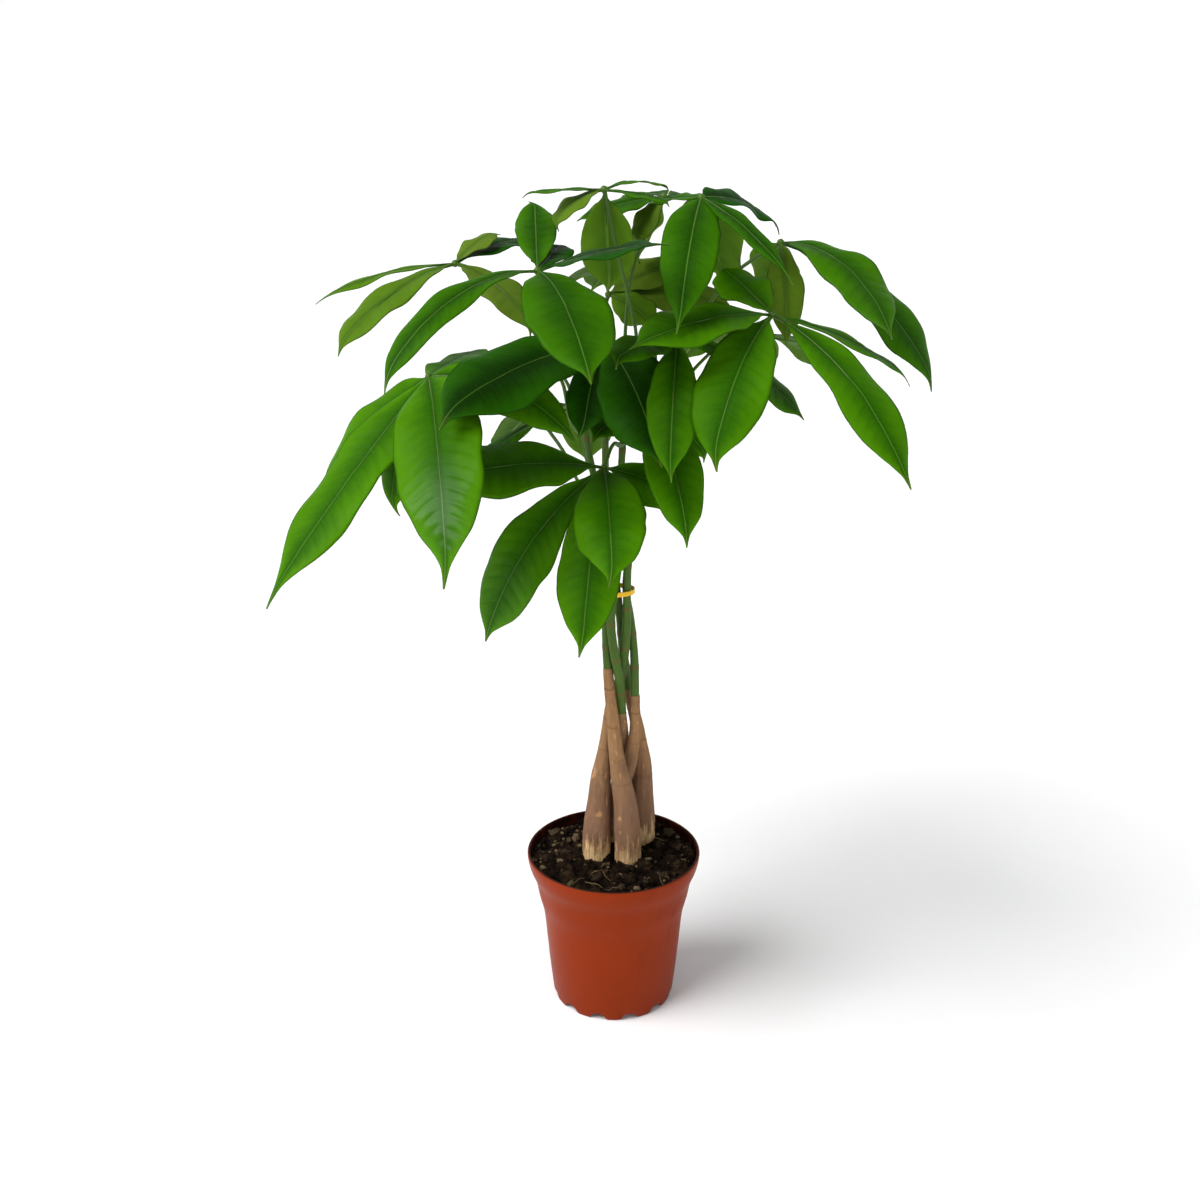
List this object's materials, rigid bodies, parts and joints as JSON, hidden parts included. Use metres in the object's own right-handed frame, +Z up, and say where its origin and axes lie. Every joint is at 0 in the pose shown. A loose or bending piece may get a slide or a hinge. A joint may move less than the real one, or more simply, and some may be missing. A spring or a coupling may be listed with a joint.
{
  "type": "potted money tree",
  "caption": "Potted house plant: bottle-shaped trunks leaning together, green stems held by a tie, and palmate leaves, in a plastic nursery pot.",
  "frame": {"origin": "middle of the pot's foot, on the surface that the pot stands on", "axes": "+Z up along the pot's axis, +Y away from the viewer of the picture, +X to the viewer's right"},
  "size_m": [0.3983, 0.3441, 0.5642],
  "materials": {
    "pot": "terracotta-coloured moulded plastic, satin, with faint handling marks",
    "soil": "dark crumbly peat mix with pale grains and fibres",
    "bark": "grey-brown bark, finely cracked, torn and pale at the foot",
    "stem": "smooth green bark with fine pale streaks and leaf scars",
    "tie": "yellow plastic tie",
    "leaf": "glossy green leaf, quilted between the side veins, with a pale midrib"
  },
  "bodies": {
    "root": {"pot": "pot", "soil": "soil", "trunk_left": "bark", "trunk_front": "bark", "trunk_middle": "bark", "trunk_right_front": "bark", "trunk_right": "bark", "stem_left": "stem", "stem_front": "stem", "stem_middle": "stem", "stem_right_front": "stem", "stem_right": "stem", "tie": "tie", "leaf_low_front": "leaf", "leaf_middle_right": "leaf", "leaf_far_left": "leaf", "leaf_far_right": "leaf", "leaf_left_front": "leaf", "leaf_right_front": "leaf", "leaf_top_left": "leaf", "leaf_middle_back": "leaf", "leaf_top_right": "leaf", "leaf_right_back": "leaf", "leaf_top_back": "leaf", "leaf_left_back": "leaf", "leaf_middle_front": "leaf", "leaf_back_left": "leaf", "leaf_back": "leaf", "leaf_back_right": "leaf", "leaf_low_back": "leaf"}
  },
  "joints": []
}
